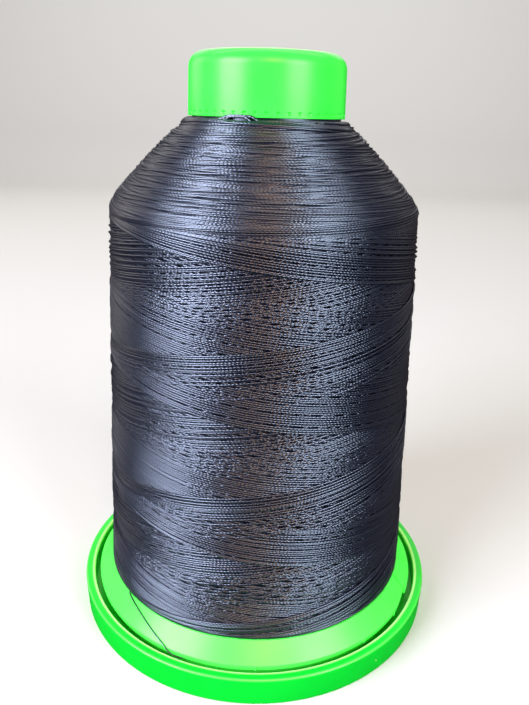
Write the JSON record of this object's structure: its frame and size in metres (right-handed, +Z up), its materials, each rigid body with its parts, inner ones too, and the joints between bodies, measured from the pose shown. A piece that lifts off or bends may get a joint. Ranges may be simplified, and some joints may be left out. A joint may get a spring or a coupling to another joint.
{
  "type": "spool of thread",
  "caption": "King-size spool of embroidery thread: wound navy thread on a green moulded core with a collar and flange, and a snap-fit base that pulls down to free the thread's end.",
  "frame": {"origin": "middle of the base, on the surface that the spool stands on", "axes": "+Z up along the spool's axis, from the base to the collar; -Y is the front, where the thread's tail crosses the skirt on the left"},
  "size_m": [0.07, 0.07, 0.102],
  "materials": {
    "core_plastic": "bright green translucent polypropylene, as moulded, with a soft gloss",
    "base_plastic": "deeper bright green polypropylene, as moulded, with a soft gloss",
    "thread": "navy trilobal polyester thread with a silky sheen, cross-wound"
  },
  "bodies": {
    "core": {"spool_core": "core_plastic", "thread_package": "thread", "outer_winding": "thread", "thread_tail": "thread"},
    "base": {"snap_base": "base_plastic"}
  },
  "joints": [
    {"name": "base_pull", "type": "slide", "parent": "core", "child": "base", "axis": [0, 0, -1], "range_m": [0, 0.004]}
  ]
}
